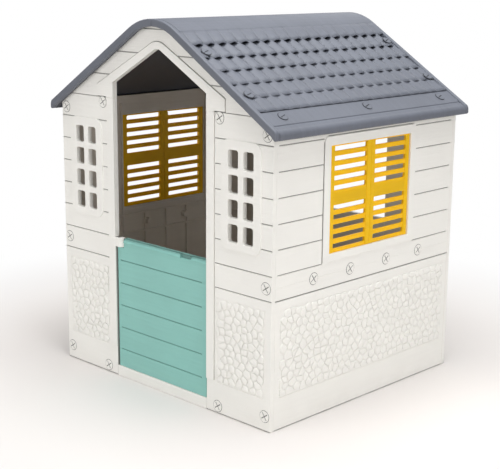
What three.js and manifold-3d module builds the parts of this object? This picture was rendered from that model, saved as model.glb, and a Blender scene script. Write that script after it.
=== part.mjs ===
// A child's moulded plastic playhouse: bolted wall panels, two roof slopes, a half door and shutters.
// Millimetres, +Z up, origin on the ground at the middle of the house, doorway facing -Y.
import * as THREE from "three";
import { mergeVertices } from "three/addons/utils/BufferGeometryUtils.js";
import Module from "manifold-3d";

const wasm = await Module();
wasm.setup();

// Overall sizes
const wallWidth = 900;
const wallDepth = 820;
const roofPitch = THREE.MathUtils.degToRad(32);
const eaveHeight = 853;
const ridgeRadius = 184;
const eaveOverhang = 30;
const gableOverhang = 24;

// Moulding thicknesses
const wallThickness = 14;
const wallSkin = 5;
const roofSkin = 6;
const fasciaDepth = 21;
const fasciaThickness = 12;
const eaveLip = 6;
const eaveDrop = 14;
const ribThickness = 6;

// Doorway and arch
const doorWidth = 400;
const springHeight = 910;
const archRise = 0.56;
const archRadius = 34;
const sillHeight = 33;
const gableSeamHeight = 862;
const hatchHeight = 441;

// Small front and back windows
const paneWidth = 38;
const paneHeight = 51;
const panePitchX = 58;
const panePitchZ = 68;
const paneBottom = 512;
const paneColumns = 2;
const paneRows = 4;
const windowFromCorner = 117;

// Side windows and shutters
const shutterWidth = 180;
const shutterBottom = 466;
const shutterHeight = 305;
const shutterThickness = 9;
const shutterStile = 19;
const slotHeight = 14;
const slotPitch = 27.6;
const slotsPerHalf = 5;
const shutterBottomRail = 11;
const shutterMidRail = 41;
const shutterPinRadius = 2.5;
const shutterPinLength = 5;

// Seam between the lower and upper side walls
const seamHeight = 372;
const seamLap = 70;
const lapThickness = 8;

// Door leaf and its hinge
const doorThickness = 14;
const doorHeight = 409;
const hingeSideGap = 7;
const latchSideGap = 3;
const doorLift = 1;
const hingeNotchWidth = 28;
const hingeNotchDepth = 30;
const hingeBlockHeight = 28;
const hingeBlockProud = 7;
const hingeBlockReach = 19;
const hingeBlockOverlap = 12;
const doorPinRadius = 4;
const topPinDepth = 16;
const bottomPinDepth = 24;
const sillPinDepth = 11;
const handHoldFromLatch = 85;
const handHoldWidth = 44;
const handHoldHeight = 15;
const handHoldDepth = 4;

// Screws
const headRadius = 17;
const headThickness = 3;
const shankRadius = 3;
const headClearance = 1.2;
const shankClearance = 0.5;
const cornerScrewInset = 21;
const cornerScrewHeights = [43, 407, 818];
const jambScrewInset = 45;
const sillScrewHeight = 22;
const hatchScrewHeight = 410;
const earScrewInset = 50;
const earScrewHeight = 848;
const seamScrewHeight = 407;
const seamScrewOffsets = [-241, -83, 83, 241];
const gableScrewFromCorner = 103;
const gableScrewInset = 13;
const eaveScrewInset = 21;
const eaveScrewFromEnd = 58;

// Fits
const clearance = 0.3;
const pivotClearance = 0.5;
const flangeWidth = 22;
const flangeThickness = 10;
const tongueThickness = 7.5;
const overrun = 40;

// Derived places
const halfWidth = wallWidth / 2;
const halfDepth = wallDepth / 2;
const halfDoor = doorWidth / 2;
const innerX = halfWidth - wallThickness;
const innerY = halfDepth - wallThickness;
const slope = Math.tan(roofPitch);
const sharpApex = eaveHeight + slope * halfWidth;
const ridgeCentre = sharpApex - ridgeRadius / Math.cos(roofPitch);
const roofHalfWidth = halfWidth + eaveOverhang;
const roofHalfDepth = halfDepth + gableOverhang;
const wallClearance = roofSkin + clearance;
const hingeX = -halfDoor + hingeSideGap + doorThickness / 2;
const hingeY = -halfDepth + 2 + doorThickness / 2;
const doorBottom = sillHeight + doorLift;
const doorTop = doorBottom + doorHeight;
const notchFloor = doorTop - hingeNotchDepth;
const windowHalf = shutterWidth + pivotClearance;
const shutterPivotX = halfWidth - 1 - shutterThickness / 2;
const shutterPivotY = shutterWidth - shutterThickness / 2;

const white = { color: 0xeeede8, roughness: 0.5, metalness: 0 };
const slate = { color: 0x6e7480, roughness: 0.55, metalness: 0 };
const mint = { color: 0x8ac0b8, roughness: 0.5, metalness: 0 };
const yellow = { color: 0xe7b527, roughness: 0.45, metalness: 0 };

// Solids and their joins

function toSolid(geometry) {
  geometry.deleteAttribute("normal");
  geometry.deleteAttribute("uv");
  const merged = mergeVertices(geometry, 1e-3);
  const mesh = new wasm.Mesh({
    numProp: 3,
    vertProperties: new Float32Array(merged.attributes.position.array),
    triVerts: new Uint32Array(merged.index.array),
  });
  return new wasm.Manifold(mesh);
}

function toMesh(name, solid, look) {
  const data = solid.getMesh();
  const geometry = new THREE.BufferGeometry();
  geometry.setAttribute("position", new THREE.BufferAttribute(data.vertProperties, 3));
  geometry.setIndex(new THREE.BufferAttribute(data.triVerts, 1));
  geometry.computeVertexNormals();
  const mesh = new THREE.Mesh(geometry, new THREE.MeshStandardMaterial(look));
  mesh.name = name;
  return mesh;
}

function block(x0, x1, y0, y1, z0, z1) {
  const geometry = new THREE.BoxGeometry(Math.abs(x1 - x0), Math.abs(y1 - y0), Math.abs(z1 - z0));
  geometry.translate((x0 + x1) / 2, (y0 + y1) / 2, (z0 + z1) / 2);
  return toSolid(geometry);
}

// A round bar between two points.
function rod(radius, from, to, sides = 12) {
  const start = new THREE.Vector3(...from);
  const run = new THREE.Vector3(...to).sub(start);
  const geometry = new THREE.CylinderGeometry(radius, radius, run.length(), sides);
  geometry.translate(0, run.length() / 2, 0);
  const turn = new THREE.Quaternion();
  turn.setFromUnitVectors(new THREE.Vector3(0, 1, 0), run.clone().normalize());
  geometry.applyQuaternion(turn);
  geometry.translate(start.x, start.y, start.z);
  return toSolid(geometry);
}

// An outline of [x, z] points carried along Y.
function prismAlongY(points, y0, y1) {
  const shape = new THREE.Shape(points.map(([x, z]) => new THREE.Vector2(x, z)));
  const geometry = new THREE.ExtrudeGeometry(shape, { depth: y1 - y0, bevelEnabled: false });
  geometry.rotateX(Math.PI / 2);
  geometry.translate(0, y1, 0);
  return toSolid(geometry);
}

// The roof's section line at a depth square below its outer surface, from the right eave to the left.
function roofLine(depth, reach) {
  const arcSteps = 8;
  const eaveZ = sharpApex - depth / Math.cos(roofPitch) - slope * reach;
  const points = [[reach, eaveZ]];
  for (let i = 0; i <= arcSteps; i += 1) {
    const angle = roofPitch * (1 - (2 * i) / arcSteps);
    const radius = ridgeRadius - depth;
    points.push([radius * Math.sin(angle), ridgeCentre + radius * Math.cos(angle)]);
  }
  points.push([-reach, eaveZ]);
  return points;
}

function roofLayer(topDepth, bottomDepth, reach, y0, y1) {
  const outline = [...roofLine(topDepth, reach), ...roofLine(bottomDepth, reach).reverse()];
  return prismAlongY(outline, y0, y1);
}

function underRoof() {
  const reach = roofHalfWidth + overrun;
  const outline = [...roofLine(wallClearance, reach), [-reach, -overrun], [reach, -overrun]];
  return prismAlongY(outline, -roofHalfDepth, roofHalfDepth);
}

// A screw's place: where its head's outer face sits, and the unit direction it is driven.
function screwHole(place, drive, length) {
  const head = new THREE.Vector3(...place);
  const into = new THREE.Vector3(...drive);
  const out = head.clone().addScaledVector(into, -overrun);
  const floor = head.clone().addScaledVector(into, headThickness + clearance);
  const end = head.clone().addScaledVector(into, length + 1);
  const recess = rod(headRadius + headClearance, out.toArray(), floor.toArray());
  return recess.add(rod(shankRadius + shankClearance, head.toArray(), end.toArray()));
}

function screwMesh(name, place, drive, length, look) {
  const profile = [
    new THREE.Vector2(0, -length),
    new THREE.Vector2(shankRadius, -length),
    new THREE.Vector2(shankRadius, -headThickness),
    new THREE.Vector2(headRadius, -headThickness),
    new THREE.Vector2(headRadius, 0),
    new THREE.Vector2(0, 0),
  ];
  const mesh = toMesh(name, toSolid(new THREE.LatheGeometry(profile, 12)), look);
  mesh.position.set(...place);
  const outward = new THREE.Vector3(...drive).negate();
  mesh.quaternion.setFromUnitVectors(new THREE.Vector3(0, 1, 0), outward);
  return mesh;
}

// Equal bays between two limits, parted by ribs.
function bays(from, to, count) {
  const width = (to - from - ribThickness * (count - 1)) / count;
  const starts = Array.from({ length: count }, (_, i) => from + i * (width + ribThickness));
  return starts.map((start) => [start, start + width]);
}

// Screws. Each set is in its own wall's frame, like the panels that it joins.

const wallScrewLength = wallThickness + flangeThickness;
const seamScrewLength = wallThickness + 12;
const roofScrewLength = 32;

function cornerScrews(side) {
  const x = side * (halfWidth - cornerScrewInset);
  return cornerScrewHeights.map((z) => [x, -halfDepth, z]);
}

function jambScrews(side, heights) {
  return heights.map((z) => [side * (halfDoor + jambScrewInset), -halfDepth, z]);
}

function earScrew(side) {
  return [side * (halfDoor + earScrewInset), -halfDepth, earScrewHeight];
}

function seamScrews() {
  return seamScrewOffsets.map((y) => [halfWidth, y, seamScrewHeight]);
}

function roofScrews() {
  const gableX = halfWidth - gableScrewFromCorner;
  const gableY = halfDepth - gableScrewInset;
  const eaveX = halfWidth - eaveScrewInset;
  const eaveY = halfDepth - eaveScrewFromEnd;
  const spots = [[gableX, -gableY], [gableX, gableY], [eaveX, -eaveY], [eaveX, eaveY]];
  return spots.map(([x, y]) => [x, y, sharpApex - slope * x]);
}

const intoWall = [0, 1, 0];
const intoSide = [-1, 0, 0];
const intoSlope = [-Math.sin(roofPitch), 0, -Math.cos(roofPitch)];
const intoLeftSlope = [Math.sin(roofPitch), 0, -Math.cos(roofPitch)];

function cutHoles(solid, places, drive, length) {
  return places.reduce((left, place) => left.subtract(screwHole(place, drive, length)), solid);
}

// End wall panels, built as the front wall. side is +1 for the right and -1 for the left.

function panes(side) {
  const middle = side * (halfWidth - windowFromCorner);
  const cuts = [];
  for (let column = 0; column < paneColumns; column += 1) {
    for (let row = 0; row < paneRows; row += 1) {
      const x = middle + (column - (paneColumns - 1) / 2) * panePitchX;
      const z = paneBottom + row * panePitchZ;
      const x0 = x - paneWidth / 2;
      const x1 = x + paneWidth / 2;
      cuts.push(block(x0, x1, -halfDepth - 5, -innerY + 5, z, z + paneHeight));
    }
  }
  return cuts;
}

function endPanel(side, jambHeights) {
  const bottomOfPanes = paneBottom - 2 * ribThickness;
  const full = block(side * halfDoor, side * halfWidth, -halfDepth, -innerY, 0, gableSeamHeight);
  let panel = full.intersect(underRoof());
  const pocketFloor = -halfDepth + wallSkin;
  const lowest = sillHeight + tongueThickness;
  for (const [x0, x1] of bays(halfDoor + 2 * ribThickness, innerX - flangeWidth - ribThickness, 2)) {
    for (const [z0, z1] of bays(lowest, bottomOfPanes, 3)) {
      panel = panel.subtract(block(side * x0, side * x1, pocketFloor, -innerY + 5, z0, z1));
    }
  }
  for (const pane of panes(side)) {
    panel = panel.subtract(pane);
  }
  const screws = [...cornerScrews(side), ...jambScrews(side, jambHeights), earScrew(side)];
  return cutHoles(panel, screws, intoWall, wallScrewLength);
}

function archOpening() {
  const edge = halfDoor;
  const archAngle = Math.atan(archRise);
  const archTop = springHeight + archRise * edge;
  const roundCentre = archTop - archRadius / Math.cos(archAngle);
  const points = [[edge, springHeight - overrun * 2], [edge, springHeight]];
  for (const step of [1, 0.5, 0, -0.5, -1]) {
    const angle = archAngle * step;
    points.push([archRadius * Math.sin(angle), roundCentre + archRadius * Math.cos(angle)]);
  }
  points.push([-edge, springHeight], [-edge, springHeight - overrun * 2]);
  return prismAlongY(points, -halfDepth - 5, -innerY + 5);
}

function gablePanel() {
  const seam = gableSeamHeight + clearance;
  const top = sharpApex;
  const tongueBack = -innerY + clearance + tongueThickness;
  let gable = block(-halfWidth, halfWidth, -halfDepth, -innerY, seam, top).subtract(archOpening());
  for (const side of [1, -1]) {
    const near = side * (halfDoor + 20);
    const far = side * (halfDoor + 2 * earScrewInset - 15);
    gable = gable.add(block(near, far, -innerY + clearance, tongueBack, seam - 30, seam + 22));
    gable = gable.add(block(near, far, -innerY - 2, tongueBack, seam + 2, seam + 22));
    const bossX = halfWidth - gableScrewFromCorner - 14;
    const bossBack = -innerY + 16;
    gable = gable.add(
      block(side * (bossX - 22), side * (bossX + 22), -innerY - 2, bossBack, seam, top),
    );
  }
  gable = gable.intersect(underRoof());
  gable = cutHoles(gable, [earScrew(1), earScrew(-1)], intoWall, wallScrewLength);
  const [front] = roofScrews();
  gable = cutHoles(gable, [front], intoSlope, roofScrewLength);
  return cutHoles(gable, [[-front[0], front[1], front[2]]], intoLeftSlope, roofScrewLength);
}

// The piece between the jambs, with tongues that lap behind the panels where its screws go.
function jambFiller(height, screwHeights) {
  const edge = halfDoor - clearance;
  const tongueBack = -innerY + clearance + tongueThickness;
  let filler = block(-edge, edge, -halfDepth, -innerY, 0, height);
  for (const z of screwHeights) {
    const reach = halfDoor + 2 * jambScrewInset - 25;
    const half = Math.min(18, z - 4, height - z);
    filler = filler.add(block(-edge, edge, -innerY - 1, tongueBack, z - half, z + half));
    filler = filler.add(block(-reach, reach, -innerY + clearance, tongueBack, z - half, z + half));
    const screws = [...jambScrews(1, [z]), ...jambScrews(-1, [z])];
    filler = cutHoles(filler, screws, intoWall, wallScrewLength);
  }
  return filler;
}

function doorSill() {
  const top = sillHeight;
  const sill = jambFiller(top, [sillScrewHeight]);
  const socket = rod(doorPinRadius + pivotClearance, [hingeX, hingeY, top - sillPinDepth - clearance],
    [hingeX, hingeY, top + 10]);
  return sill.subtract(socket);
}

function hatchPanel() {
  let panel = jambFiller(hatchHeight, [sillScrewHeight, hatchScrewHeight]);
  const lowest = sillScrewHeight + 18 + ribThickness;
  const highest = hatchScrewHeight - 18 - ribThickness;
  for (const [x0, x1] of bays(-halfDoor + 2 * ribThickness, halfDoor - 2 * ribThickness, 4)) {
    for (const [z0, z1] of bays(lowest, highest, 2)) {
      panel = panel.subtract(block(x0, x1, -halfDepth + wallSkin, -innerY + 5, z0, z1));
    }
  }
  return panel;
}

// Side walls, built as the right wall.

const wallEnd = innerY - clearance;

function endFlanges(z0, z1) {
  const near = wallEnd - flangeThickness;
  const front = block(innerX - flangeWidth, halfWidth, -wallEnd, -near, z0, z1);
  return front.add(block(innerX - flangeWidth, halfWidth, near, wallEnd, z0, z1));
}

function cornerHoles(solid) {
  const screws = cornerScrews(1);
  const front = cutHoles(solid, screws, intoWall, wallScrewLength);
  const mirrored = screws.map(([x, y, z]) => [x, -y, z]);
  return cutHoles(front, mirrored, [0, -1, 0], wallScrewLength);
}

function lowerSideWall() {
  const lapTop = seamHeight + seamLap - clearance;
  const lapReach = wallEnd - flangeThickness - clearance;
  let wall = block(innerX, halfWidth, -wallEnd, wallEnd, 0, seamHeight);
  wall = wall.add(endFlanges(0, seamHeight));
  for (const [y0, y1] of bays(-lapReach + ribThickness, lapReach - ribThickness, 6)) {
    wall = wall.subtract(
      block(innerX - 5, halfWidth - wallSkin, y0, y1, 2 * ribThickness, seamHeight - ribThickness),
    );
  }
  const lapFace = halfWidth - lapThickness - clearance;
  wall = wall.add(block(innerX, lapFace, -lapReach, lapReach, seamHeight - 1, lapTop));
  for (const [, y, z] of seamScrews()) {
    wall = wall.add(rod(9, [innerX + 1, y, z], [innerX - 14, y, z]));
  }
  wall = cutHoles(wall, seamScrews(), intoSide, seamScrewLength);
  return cornerHoles(wall);
}

function upperSideWall() {
  const bottom = seamHeight + clearance;
  const lapTop = seamHeight + seamLap;
  const lapReach = wallEnd - flangeThickness;
  const windowTop = shutterBottom + shutterHeight + clearance;
  const windowBottom = shutterBottom - clearance;
  let wall = block(innerX, halfWidth, -wallEnd, wallEnd, bottom, sharpApex);
  wall = wall.add(endFlanges(bottom, sharpApex));
  wall = wall.subtract(
    block(innerX - 5, halfWidth - lapThickness, -lapReach, lapReach, bottom - 5, lapTop),
  );
  for (const side of [1, -1]) {
    for (const [y0, y1] of bays(windowHalf + 3 * ribThickness, lapReach - ribThickness, 2)) {
      wall = wall.subtract(
        block(innerX - 5, halfWidth - wallSkin, side * y0, side * y1, lapTop + ribThickness, windowTop),
      );
    }
    const boss = side * (halfDepth - eaveScrewFromEnd);
    const bossTop = eaveHeight + overrun;
    wall = wall.add(
      block(innerX - 36, innerX + 2, boss - 12, boss + 12, eaveHeight - overrun, bossTop),
    );
    const pinY = side * shutterPivotY;
    const socketRadius = shutterPinRadius + pivotClearance;
    const reach = shutterPinLength + 2 * clearance;
    wall = wall.subtract(
      rod(socketRadius, [shutterPivotX, pinY, windowBottom - reach],
        [shutterPivotX, pinY, windowTop + reach]),
    );
  }
  wall = wall.subtract(
    block(innerX - 5, halfWidth + 5, -windowHalf, windowHalf, windowBottom, windowTop),
  );
  wall = wall.intersect(underRoof());
  wall = cutHoles(wall, seamScrews(), intoSide, seamScrewLength);
  wall = cutHoles(wall, roofScrews().slice(2), intoSlope, roofScrewLength);
  return cornerHoles(wall);
}

// Roof

function roofBothSlopes() {
  const lipX = roofHalfWidth - eaveLip;
  const lipTop = sharpApex - slope * roofHalfWidth;
  const hem = roofHalfDepth - fasciaThickness;
  let roof = roofLayer(0, roofSkin, roofHalfWidth, -roofHalfDepth, roofHalfDepth);
  roof = roof.add(roofLayer(0, fasciaDepth, roofHalfWidth, -roofHalfDepth, -hem));
  roof = roof.add(roofLayer(0, fasciaDepth, roofHalfWidth, hem, roofHalfDepth));
  for (const side of [1, -1]) {
    const lip = block(side * lipX, side * roofHalfWidth, -roofHalfDepth, roofHalfDepth,
      lipTop - eaveDrop, lipTop + 0.5);
    roof = roof.add(lip);
  }
  const screws = roofScrews();
  const leftScrews = screws.map(([x, y, z]) => [-x, y, z]);
  roof = cutHoles(roof, screws, intoSlope, roofScrewLength);
  return cutHoles(roof, leftScrews, intoLeftSlope, roofScrewLength);
}

// Keeps one slope. The right slope carries a lap that reaches under the left one at the ridge.
function roofSlope(side) {
  const gap = clearance / 2;
  const far = roofHalfWidth + overrun;
  const half = block(side * gap, side * far, -roofHalfDepth - 5, roofHalfDepth + 5, 0, sharpApex);
  const slopeSolid = roofBothSlopes().intersect(half);
  if (side < 0) {
    return slopeSolid;
  }
  const lapEnd = innerY - 10;
  const lapBand = roofLayer(roofSkin + clearance, roofSkin + 5, 100, -lapEnd, lapEnd);
  const lap = lapBand.intersect(block(-30, 25, -lapEnd, lapEnd, 0, sharpApex));
  const rootBand = roofLayer(roofSkin / 2, roofSkin + 5, 100, -lapEnd, lapEnd);
  const root = rootBand.intersect(block(gap, 25, -lapEnd, lapEnd, 0, sharpApex));
  return slopeSolid.add(root).add(lap);
}

// Door

function doorLeaf() {
  const y0 = hingeY - doorThickness / 2;
  const y1 = hingeY + doorThickness / 2;
  const right = halfDoor - latchSideGap;
  let leaf = block(hingeX, right, y0, y1, doorBottom, doorTop);
  leaf = leaf.add(rod(doorThickness / 2, [hingeX, hingeY, doorBottom], [hingeX, hingeY, doorTop], 24));
  const notchRight = hingeX - doorThickness / 2 + hingeNotchWidth;
  leaf = leaf.subtract(
    block(-halfDoor, notchRight, y0 - 5, y1 + 5, notchFloor, doorTop + 5),
  );
  for (const [x0, x1] of bays(notchRight + ribThickness, right - 2 * ribThickness, 4)) {
    for (const [z0, z1] of bays(doorBottom + 2 * ribThickness, notchFloor - ribThickness, 2)) {
      leaf = leaf.subtract(block(x0, x1, y0 + wallSkin, y1 + 5, z0, z1));
    }
  }
  const holdX = right - handHoldFromLatch;
  const holdHalf = handHoldWidth / 2;
  const holdLow = doorTop - handHoldHeight;
  leaf = leaf.subtract(
    block(holdX - holdHalf, holdX + holdHalf, y0 - 5, y0 + handHoldDepth, holdLow, doorTop + 5),
  );
  const socketRadius = doorPinRadius + clearance;
  const topSocket = rod(socketRadius, [hingeX, hingeY, notchFloor - topPinDepth - clearance],
    [hingeX, hingeY, notchFloor + 5]);
  const bottomSocket = rod(socketRadius, [hingeX, hingeY, doorBottom - 5],
    [hingeX, hingeY, doorBottom + bottomPinDepth + clearance]);
  return leaf.subtract(topSocket).subtract(bottomSocket);
}

function doorPinTop() {
  const z0 = notchFloor - topPinDepth;
  return rod(doorPinRadius, [hingeX, hingeY, z0], [hingeX, hingeY, doorTop - 10]);
}

function doorPinBottom() {
  const z0 = sillHeight - sillPinDepth;
  return rod(doorPinRadius, [hingeX, hingeY, z0], [hingeX, hingeY, doorBottom + bottomPinDepth]);
}

// A knuckle that is screwed to the jamb and wraps its corner, with a round nose about the pin.
function hingeBlock() {
  const z0 = doorTop - hingeBlockHeight;
  const z1 = doorTop;
  const front = -halfDepth - hingeBlockProud;
  const back = -innerY - 1;
  const left = -halfDoor - hingeBlockOverlap;
  const nose = rod(hingeBlockReach, [hingeX, hingeY, z0], [hingeX, hingeY, z1], 24).intersect(
    block(hingeX, hingeX + hingeBlockReach, front, back, z0, z1),
  );
  const cheek = block(left, hingeX + 1, front, -halfDepth - clearance, z0, z1);
  const inner = block(-halfDoor + clearance, hingeX + 1, front + 2, back, z0, z1);
  const socket = rod(doorPinRadius + pivotClearance, [hingeX, hingeY, z0 - 5], [hingeX, hingeY, z1 - 9]);
  return nose.add(cheek).add(inner).subtract(socket);
}

// A louvred shutter leaf of the right wall. end is -1 for the front leaf and +1 for the back one.
function shutterLeaf(end) {
  const x0 = shutterPivotX - shutterThickness / 2;
  const x1 = shutterPivotX + shutterThickness / 2;
  const z1 = shutterBottom + shutterHeight;
  const seam = end * pivotClearance;
  const pivotY = end * shutterPivotY;
  let leaf = block(x0, x1, seam, pivotY, shutterBottom, z1);
  leaf = leaf.add(
    rod(shutterThickness / 2, [shutterPivotX, pivotY, shutterBottom], [shutterPivotX, pivotY, z1], 16),
  );
  const upperSlots = shutterBottom + shutterBottomRail + slotsPerHalf * slotPitch + shutterMidRail
    - (slotPitch - slotHeight);
  for (const start of [shutterBottom + shutterBottomRail, upperSlots]) {
    for (let i = 0; i < slotsPerHalf; i += 1) {
      const z = start + i * slotPitch;
      const outer = end * (shutterWidth - shutterStile);
      leaf = leaf.subtract(block(x0 - 5, x1 + 5, end * shutterStile, outer, z, z + slotHeight));
    }
  }
  const low = [shutterPivotX, pivotY, shutterBottom - shutterPinLength];
  const high = [shutterPivotX, pivotY, z1 + shutterPinLength];
  return leaf.add(rod(shutterPinRadius, low, high));
}

// Assembly

const playhouse = new THREE.Group();
const frontWall = new THREE.Group();
const backWall = new THREE.Group();
const rightWall = new THREE.Group();
const leftWall = new THREE.Group();
const roof = new THREE.Group();
const door = new THREE.Group();
backWall.rotation.z = Math.PI;
leftWall.rotation.z = Math.PI;
playhouse.add(frontWall, backWall, rightWall, leftWall, roof, door);

// In a wall that is turned to face the other way, its own right is the house's left.
function addEndWall(group, wallName, rightName, leftName, jambHeights) {
  group.add(toMesh(wallName + "_" + rightName + "_panel", endPanel(1, jambHeights), white));
  group.add(toMesh(wallName + "_" + leftName + "_panel", endPanel(-1, jambHeights), white));
  group.add(toMesh(wallName + "_gable", gablePanel(), white));
  for (const [side, sideName] of [[1, rightName], [-1, leftName]]) {
    const places = [
      ...cornerScrews(side).map((place, i) => ["corner_screw_" + (i + 1), place]),
      ...jambScrews(side, jambHeights).map((place, i) => ["jamb_screw_" + (i + 1), place]),
      ["ear_screw", earScrew(side)],
    ];
    for (const [screwName, place] of places) {
      const name = [wallName, sideName, screwName].join("_");
      group.add(screwMesh(name, place, intoWall, wallScrewLength, white));
    }
  }
}

function addSideWall(group, wallName, ends) {
  group.add(toMesh(wallName + "_wall_lower", lowerSideWall(), white));
  group.add(toMesh(wallName + "_wall_upper", upperSideWall(), white));
  for (const [end, endName] of ends) {
    group.add(toMesh(wallName + "_shutter_" + endName, shutterLeaf(end), yellow));
  }
  seamScrews().forEach((place, i) => {
    const name = wallName + "_seam_screw_" + (i + 1);
    group.add(screwMesh(name, place, intoSide, seamScrewLength, white));
  });
}

addEndWall(frontWall, "front", "right", "left", [sillScrewHeight]);
addEndWall(backWall, "back", "left", "right", [sillScrewHeight, hatchScrewHeight]);
frontWall.add(toMesh("door_sill", doorSill(), white));
backWall.add(toMesh("back_hatch_panel", hatchPanel(), white));
addSideWall(rightWall, "right", [[-1, "front"], [1, "back"]]);
addSideWall(leftWall, "left", [[-1, "back"], [1, "front"]]);

for (const [side, sideName, drive] of [[1, "right", intoSlope], [-1, "left", intoLeftSlope]]) {
  roof.add(toMesh("roof_" + sideName, roofSlope(side), slate));
  roofScrews().forEach(([x, y, z], i) => {
    const name = "roof_" + sideName + "_screw_" + (i + 1);
    roof.add(screwMesh(name, [side * x, y, z], drive, roofScrewLength, slate));
  });
}

door.add(toMesh("door_leaf", doorLeaf(), mint));
door.add(toMesh("door_hinge_block", hingeBlock(), white));
door.add(toMesh("door_pin_top", doorPinTop(), white));
door.add(toMesh("door_pin_bottom", doorPinBottom(), white));

export default playhouse;
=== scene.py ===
"""Moulded plastic playhouse: panels, tiles, door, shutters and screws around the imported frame."""
import math
import random

import bmesh
import bpy
from mathutils import Matrix, Vector


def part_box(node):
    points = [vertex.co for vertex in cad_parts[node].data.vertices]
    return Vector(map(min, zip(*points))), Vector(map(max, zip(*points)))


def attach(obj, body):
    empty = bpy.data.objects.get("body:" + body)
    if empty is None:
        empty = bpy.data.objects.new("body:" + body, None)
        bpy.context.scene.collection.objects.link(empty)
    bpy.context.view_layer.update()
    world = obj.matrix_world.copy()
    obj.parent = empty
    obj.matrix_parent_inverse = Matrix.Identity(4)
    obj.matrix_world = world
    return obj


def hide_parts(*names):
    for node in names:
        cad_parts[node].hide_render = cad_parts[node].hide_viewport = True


bl_info = {
    "name": "Plastic playhouse",
    "version": (1, 0, 0),
    "blender": (4, 5, 0),
    "location": "3D View > Sidebar > Playhouse",
    "description": "Builds the finished pieces of a moulded plastic playhouse",
    "category": "Object",
}

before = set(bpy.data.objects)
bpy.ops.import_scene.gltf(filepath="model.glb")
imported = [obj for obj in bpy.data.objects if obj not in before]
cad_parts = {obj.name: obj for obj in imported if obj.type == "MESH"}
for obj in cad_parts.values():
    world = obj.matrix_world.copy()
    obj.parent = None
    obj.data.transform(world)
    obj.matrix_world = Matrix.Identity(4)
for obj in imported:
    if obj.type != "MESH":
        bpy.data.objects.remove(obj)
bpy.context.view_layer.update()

MM = 0.001
PITCH = math.radians(32)
RUN = math.cos(PITCH)
RISE = math.sin(PITCH)
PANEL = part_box("front_right_panel")
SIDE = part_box("right_wall_upper")
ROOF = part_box("roof_right")
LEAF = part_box("door_leaf")
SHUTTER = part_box("right_shutter_back")
HALF_WIDTH = PANEL[1][0]
HALF_DEPTH = -PANEL[0][1]
HALF_DOOR = PANEL[0][0]
WALL = PANEL[1][1] - PANEL[0][1]
SEAM = PANEL[1][2]
WALL_END = SIDE[1][1]
ROOF_END = ROOF[1][1]
EAVE_REACH = ROOF[1][0]
EAVE_HEIGHT = 853 * MM
APEX = EAVE_HEIGHT + HALF_WIDTH * math.tan(PITCH)
RIDGE_RADIUS = 184 * MM
BOARD = 70 * MM
FIRST_BOARD = 372 * MM
BOARDS = 11
SHADE = 1  # material index of the darker copies: painted shade in grooves, slots and seams
INNER_SHADE = 2  # material index of the darker inner copies: painted shade on the faces towards the room and under the roof


# Values that a user would change

class PlayhouseSizes(bpy.types.PropertyGroup):
    groove: bpy.props.FloatProperty(
        name="Board groove", description="Width of the groove between two wall boards",
        default=3.4 * MM, unit="LENGTH")
    groove_depth: bpy.props.FloatProperty(
        name="Groove depth", description="Depth of the groove between two wall boards",
        default=3.2 * MM, unit="LENGTH")
    trim: bpy.props.FloatProperty(
        name="Trim height", description="How far door and window surrounds stand proud",
        default=3.0 * MM, unit="LENGTH")
    stone: bpy.props.FloatProperty(
        name="Stone pitch", description="Typical size of one stone in the cobble relief",
        default=24 * MM, unit="LENGTH")
    stone_height: bpy.props.FloatProperty(
        name="Stone height", description="How far a stone stands out of its joint",
        default=2.6 * MM, unit="LENGTH")
    tile: bpy.props.FloatProperty(
        name="Tile pitch", description="Width of one barrel tile along the ridge",
        default=44.8 * MM, unit="LENGTH")
    tile_drop: bpy.props.FloatProperty(
        name="Tile depth", description="Depth of the valley between two tiles",
        default=7.5 * MM, unit="LENGTH")
    rounding: bpy.props.FloatProperty(
        name="Edge rounding", description="Radius of the moulded edges",
        default=1.3 * MM, unit="LENGTH")


class PlayhouseColours(bpy.types.PropertyGroup):
    wall: bpy.props.FloatVectorProperty(
        name="Wall", description="Colour of the wall panels", subtype="COLOR", size=3,
        default=(0.85, 0.84, 0.80))
    roof: bpy.props.FloatVectorProperty(
        name="Roof", description="Colour of the roof", subtype="COLOR", size=3,
        default=(0.128, 0.139, 0.168))
    door: bpy.props.FloatVectorProperty(
        name="Door", description="Colour of the half door", subtype="COLOR", size=3,
        default=(0.25, 0.525, 0.475))
    shutter: bpy.props.FloatVectorProperty(
        name="Shutter", description="Colour of the shutters", subtype="COLOR", size=3,
        default=(0.96, 0.52, 0.007))


# Shader maths

class Value:
    """Wraps a socket, so that an expression on it adds the Math nodes that it needs."""

    def __init__(self, finish, socket):
        self.finish = finish
        self.socket = socket

    def math(self, operation, *values):
        node = self.finish.node("ShaderNodeMath", {"operation": operation}, values)
        return Value(self.finish, node.outputs[0])

    def __add__(self, other):
        return self.math("ADD", self, other)

    def __sub__(self, other):
        return self.math("SUBTRACT", self, other)

    def __rsub__(self, other):
        return self.math("SUBTRACT", other, self)

    def __mul__(self, other):
        return self.math("MULTIPLY", self, other)

    __radd__ = __add__
    __rmul__ = __mul__

    def ramp(self, low, high):
        """0 below low, 1 above high, smooth between."""
        settings = {"interpolation_type": "SMOOTHSTEP"}
        values = {"Value": self, "From Min": low, "From Max": high}
        node = self.finish.node("ShaderNodeMapRange", settings, values)
        return Value(self.finish, node.outputs["Result"])


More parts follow.
